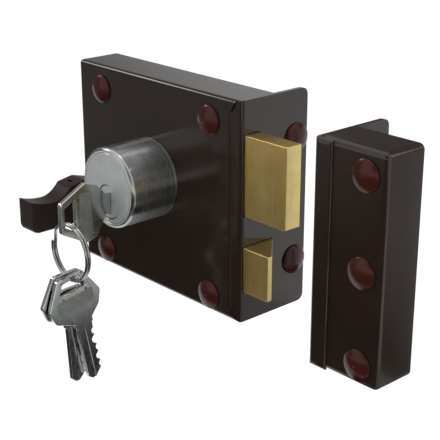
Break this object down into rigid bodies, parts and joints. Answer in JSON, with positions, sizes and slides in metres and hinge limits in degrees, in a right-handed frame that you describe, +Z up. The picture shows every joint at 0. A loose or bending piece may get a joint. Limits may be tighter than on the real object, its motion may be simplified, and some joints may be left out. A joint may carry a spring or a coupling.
{
  "type": "rim box lock",
  "caption": "Surface-mounted door lock: enamelled box case with key cylinder, deadbolt, sprung latch with thumb pull, separate keeper, and a key with spare keys on a ring.",
  "frame": {"origin": "where the key's axis meets the door face, on the rear face of the back plate", "axes": "+X towards the keeper, +Y into the door, +Z up"},
  "size_m": [0.2107, 0.1062, 0.1392],
  "materials": {
    "enamel": "gloss baked enamel, dark brown",
    "cap_red": "moulded, gloss dark red",
    "pull_brown": "moulded, satin dark brown",
    "cylinder_steel": "turned and satin brushed",
    "bolt_brass": "drawn, fine lines",
    "key_nickel": "nickel plated",
    "zinc_steel": "zinc plated",
    "pin_brass": "turned"
  },
  "bodies": {
    "case": {"case_cover": "enamel", "face_plate": "enamel", "back_plate": "zinc_steel", "case_pillars": "zinc_steel", "back_screws": "zinc_steel", "case_caps": "cap_red", "flange_caps": "cap_red", "cylinder_body": "cylinder_steel", "cylinder_screws": "zinc_steel", "driver_pins": "pin_brass", "pin_springs": "zinc_steel", "guide_post": "zinc_steel", "pinion_bearing": "pin_brass", "spring_stop": "zinc_steel", "latch_spring": "zinc_steel"},
    "plug": {"plug": "cylinder_steel", "key_pins": "pin_brass", "plug_clip": "zinc_steel", "tail_bar": "zinc_steel", "pinion": "zinc_steel"},
    "deadbolt": {"deadbolt": "bolt_brass", "deadbolt_slide": "zinc_steel", "deadbolt_rivets": "zinc_steel"},
    "latch": {"latch_bolt": "bolt_brass", "latch_tail": "zinc_steel", "latch_rivets": "zinc_steel", "spring_rod": "zinc_steel", "pull_handle": "pull_brown", "pull_pin": "zinc_steel"},
    "key": {"door_key": "key_nickel"},
    "ring": {"key_ring": "key_nickel"},
    "front_spare": {"spare_key_front": "key_nickel"},
    "rear_spare": {"spare_key_rear": "key_nickel"},
    "keeper": {"keeper_plate": "enamel", "keeper_cover": "enamel", "keeper_back": "zinc_steel", "keeper_caps": "cap_red", "keeper_pillars": "zinc_steel", "keeper_screws": "zinc_steel"}
  },
  "joints": [
    {"name": "plug_turn", "type": "hinge", "parent": "case", "child": "plug", "pos_m": [0, -0.022, 0], "axis": [0, 1, 0], "range_deg": [-360, 0]},
    {"name": "deadbolt_slide", "type": "slide", "parent": "case", "child": "deadbolt", "axis": [1, 0, 0], "range_m": [-0.02514, 0]},
    {"name": "latch_slide", "type": "slide", "parent": "case", "child": "latch", "axis": [1, 0, 0], "range_m": [-0.0155, 0], "stiffness_N_per_m": 300, "springref_m": 0.01, "deforming": ["latch_spring"]},
    {"name": "key_pull", "type": "slide", "parent": "plug", "child": "key", "axis": [0, -1, 0], "range_m": [0, 0.036]},
    {"name": "ring_swing", "type": "hinge", "parent": "key", "child": "ring", "pos_m": [0, -0.07025, -0.00594], "axis": [1, 0, 0], "range_deg": [-20, 12]},
    {"name": "front_spare_swing", "type": "hinge", "parent": "ring", "child": "front_spare", "pos_m": [0, -0.07025, -0.03244], "axis": [1, 0, 0], "range_deg": [-15, 15]},
    {"name": "rear_spare_swing", "type": "hinge", "parent": "ring", "child": "rear_spare", "pos_m": [0, -0.07025, -0.03244], "axis": [1, 0, 0], "range_deg": [-15, 15]},
    {"name": "keeper_set", "type": "slide", "parent": "case", "child": "keeper", "axis": [1, 0, 0], "range_m": [-0.04, 0]}
  ],
  "couplings": [
    {"joint": "deadbolt_slide", "follows": "plug_turn", "m_per_rad": 0.004}
  ]
}
